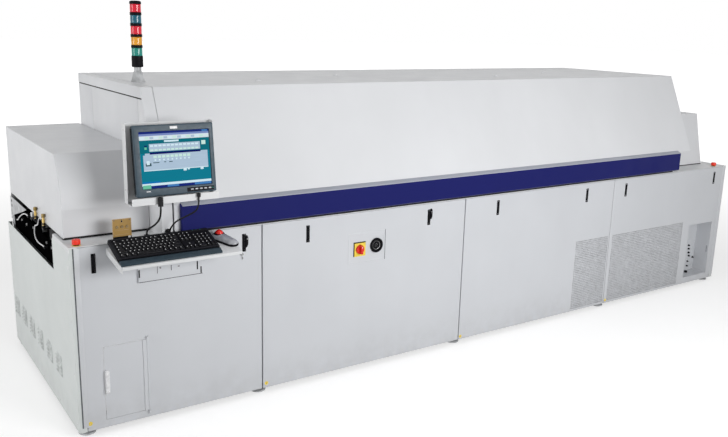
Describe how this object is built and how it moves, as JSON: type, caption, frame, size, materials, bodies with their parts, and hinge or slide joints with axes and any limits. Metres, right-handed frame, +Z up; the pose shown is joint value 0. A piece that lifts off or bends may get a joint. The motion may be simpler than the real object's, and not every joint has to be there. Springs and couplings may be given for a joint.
{
  "type": "reflow oven",
  "caption": "Floor-standing in-line convection reflow oven: long sheet-metal cabinet with a lifting hood, end covers, tilting front panels, edge conveyor, light tower and operator station.",
  "frame": {"origin": "on the floor at the centre of the whole object's plan box", "axes": "+X along the conveyor from the load end to the exit end, +Y from the operator's side to the rear, +Z up"},
  "size_m": [4.65, 1.5764, 1.883],
  "materials": {
    "frame_paint": "satin powder coat",
    "cabinet_paint": "satin powder coat",
    "hood_paint": "satin powder coat",
    "bumper_blue": "satin powder coat",
    "stainless": "brushed",
    "dark_steel": "matt black",
    "rail_aluminium": "anodised",
    "chain_steel": "oiled",
    "motor_grey": "painted",
    "oiler_brass": "machined",
    "seal_rubber": "matt",
    "black_plastic": "fine grain",
    "lens_plastic": "translucent, coloured in bands",
    "red_plastic": "gloss",
    "yellow_plastic": "satin",
    "keyboard_black": "fine grain",
    "key_black": "worn matt",
    "trackball_grey": "satin",
    "bezel_slate": "satin",
    "screen_glass": "lit display",
    "cord_rubber": "matt",
    "jack_tan": "matt",
    "foot_rubber": "matt"
  },
  "bodies": {
    "base": {"base_frame": "frame_paint", "leveling_feet": "foot_rubber", "end_panels": "cabinet_paint", "rear_panels": "cabinet_paint", "deck": "cabinet_paint", "deck_gaskets": "seal_rubber", "hood_end_frame": "hood_paint", "hinge_brackets": "stainless", "lower_zone_modules": "stainless", "lower_blower_motors": "motor_grey", "conveyor_supports": "dark_steel", "fixed_rail": "rail_aluminium", "fixed_chain": "chain_steel", "fixed_rail_oiler": "oiler_brass", "drive_gearmotor": "motor_grey", "control_cabinet": "frame_paint", "exhaust_spigots": "stainless", "utility_niche": "cabinet_paint", "lift_actuators": "motor_grey", "estop_bases": "cabinet_paint", "monitor_cradle": "cabinet_paint", "monitor_case": "bezel_slate", "monitor_screen": "screen_glass", "cable_glands": "black_plastic", "monitor_cord_1": "cord_rubber", "monitor_cord_2": "cord_rubber", "jack_plate": "jack_tan"},
    "hood": {"hood_shell": "hood_paint", "hood_bumper": "bumper_blue", "hood_liner": "stainless", "upper_zone_modules": "stainless", "upper_blower_motors": "motor_grey", "tower_post": "black_plastic", "tower_lenses": "lens_plastic"},
    "lift_rods": {"lift_rods": "stainless"},
    "load_cover": {"load_cover": "hood_paint"},
    "exit_cover": {"exit_cover": "hood_paint"},
    "width_rail": {"adjustable_rail": "rail_aluminium", "adjustable_chain": "chain_steel", "adjustable_rail_oiler": "oiler_brass"},
    "drive_shaft": {"drive_shaft": "chain_steel"},
    "stop_left": {"estop_button_left": "red_plastic"},
    "stop_right": {"estop_button_right": "red_plastic"},
    "panel_1": {"front_panel_1": "cabinet_paint", "keyboard_tray": "cabinet_paint", "keyboard_case": "keyboard_black", "trackball_body": "trackball_grey"},
    "panel_2": {"front_panel_2": "cabinet_paint", "switch_escutcheon": "yellow_plastic", "power_socket": "black_plastic"},
    "panel_3": {"front_panel_3": "cabinet_paint"},
    "panel_4": {"front_panel_4": "cabinet_paint"},
    "latches_1": {"panel_latches_1": "black_plastic"},
    "latches_2": {"panel_latches_2": "black_plastic"},
    "latches_3": {"panel_latches_3": "black_plastic"},
    "latches_4": {"panel_latches_4": "black_plastic"},
    "door": {"access_door": "cabinet_paint"},
    "keys": {"keyboard_keys": "key_black"},
    "ball": {"trackball_ball": "red_plastic"},
    "knob": {"switch_knob": "red_plastic"}
  },
  "joints": [
    {"name": "hood_lift", "type": "hinge", "parent": "base", "child": "hood", "pos_m": [0, 0.66517, 0.889], "axis": [-1, 0, 0], "range_deg": [0, 38]},
    {"name": "lift_rod_slide", "type": "slide", "parent": "base", "child": "lift_rods", "axis": [0, 0.3256, 0.9455], "range_m": [0, 0.1312]},
    {"name": "load_cover_lift", "type": "hinge", "parent": "base", "child": "load_cover", "pos_m": [0, 0.69117, 0.888], "axis": [-1, 0, 0], "range_deg": [0, 60]},
    {"name": "exit_cover_lift", "type": "hinge", "parent": "base", "child": "exit_cover", "pos_m": [0, 0.69117, 0.888], "axis": [-1, 0, 0], "range_deg": [0, 60]},
    {"name": "rail_width", "type": "slide", "parent": "base", "child": "width_rail", "axis": [0, 1, 0], "range_m": [0, 0.24]},
    {"name": "drive_turn", "type": "hinge", "parent": "base", "child": "drive_shaft", "pos_m": [2.278, 0.03317, 0.825], "axis": [0, 1, 0], "continuous": true},
    {"name": "stop_left_press", "type": "slide", "parent": "base", "child": "stop_left", "axis": [0, 0, -1], "range_m": [0, 0.005], "stiffness_N_per_m": 800, "springref_m": -0.002},
    {"name": "stop_right_press", "type": "slide", "parent": "base", "child": "stop_right", "axis": [0, 0, -1], "range_m": [0, 0.005], "stiffness_N_per_m": 800, "springref_m": -0.002},
    {"name": "door_swing", "type": "hinge", "parent": "panel_1", "child": "door", "pos_m": [-2.009, -0.57113, 0.235], "axis": [0, 0, 1], "range_deg": [0, 100]},
    {"name": "keys_press", "type": "slide", "parent": "panel_1", "child": "keys", "axis": [0, 0.2419, -0.9703], "range_m": [0, 0.003], "stiffness_N_per_m": 4000, "springref_m": -0.003},
    {"name": "ball_turn", "type": "hinge", "parent": "panel_1", "child": "ball", "pos_m": [-1.68, -0.62854, 0.86853], "axis": [1, 0, 0], "continuous": true},
    {"name": "switch_turn", "type": "hinge", "parent": "panel_2", "child": "knob", "pos_m": [-0.873, -0.56683, 0.671], "axis": [0, 1, 0], "range_deg": [0, 90]},
    {"name": "panel_1_tilt", "type": "hinge", "parent": "base", "child": "panel_1", "pos_m": [0, -0.55583, 0.045], "axis": [1, 0, 0], "range_deg": [0, 12]},
    {"name": "latches_1_turn", "type": "hinge", "parent": "panel_1", "child": "latches_1", "pos_m": [0, -0.55783, 0.816], "axis": [-1, 0, 0], "range_deg": [0, 35]},
    {"name": "panel_2_tilt", "type": "hinge", "parent": "base", "child": "panel_2", "pos_m": [0, -0.55583, 0.045], "axis": [1, 0, 0], "range_deg": [0, 12]},
    {"name": "latches_2_turn", "type": "hinge", "parent": "panel_2", "child": "latches_2", "pos_m": [0, -0.55783, 0.816], "axis": [-1, 0, 0], "range_deg": [0, 35]},
    {"name": "panel_3_tilt", "type": "hinge", "parent": "base", "child": "panel_3", "pos_m": [0, -0.55583, 0.045], "axis": [1, 0, 0], "range_deg": [0, 12]},
    {"name": "latches_3_turn", "type": "hinge", "parent": "panel_3", "child": "latches_3", "pos_m": [0, -0.55783, 0.816], "axis": [-1, 0, 0], "range_deg": [0, 35]},
    {"name": "panel_4_tilt", "type": "hinge", "parent": "base", "child": "panel_4", "pos_m": [0, -0.55583, 0.045], "axis": [1, 0, 0], "range_deg": [0, 12]},
    {"name": "latches_4_turn", "type": "hinge", "parent": "panel_4", "child": "latches_4", "pos_m": [0, -0.55783, 0.816], "axis": [-1, 0, 0], "range_deg": [0, 35]}
  ],
  "couplings": [
    {"joint": "lift_rod_slide", "follows": "hood_lift", "m_per_rad": 0.19728}
  ]
}
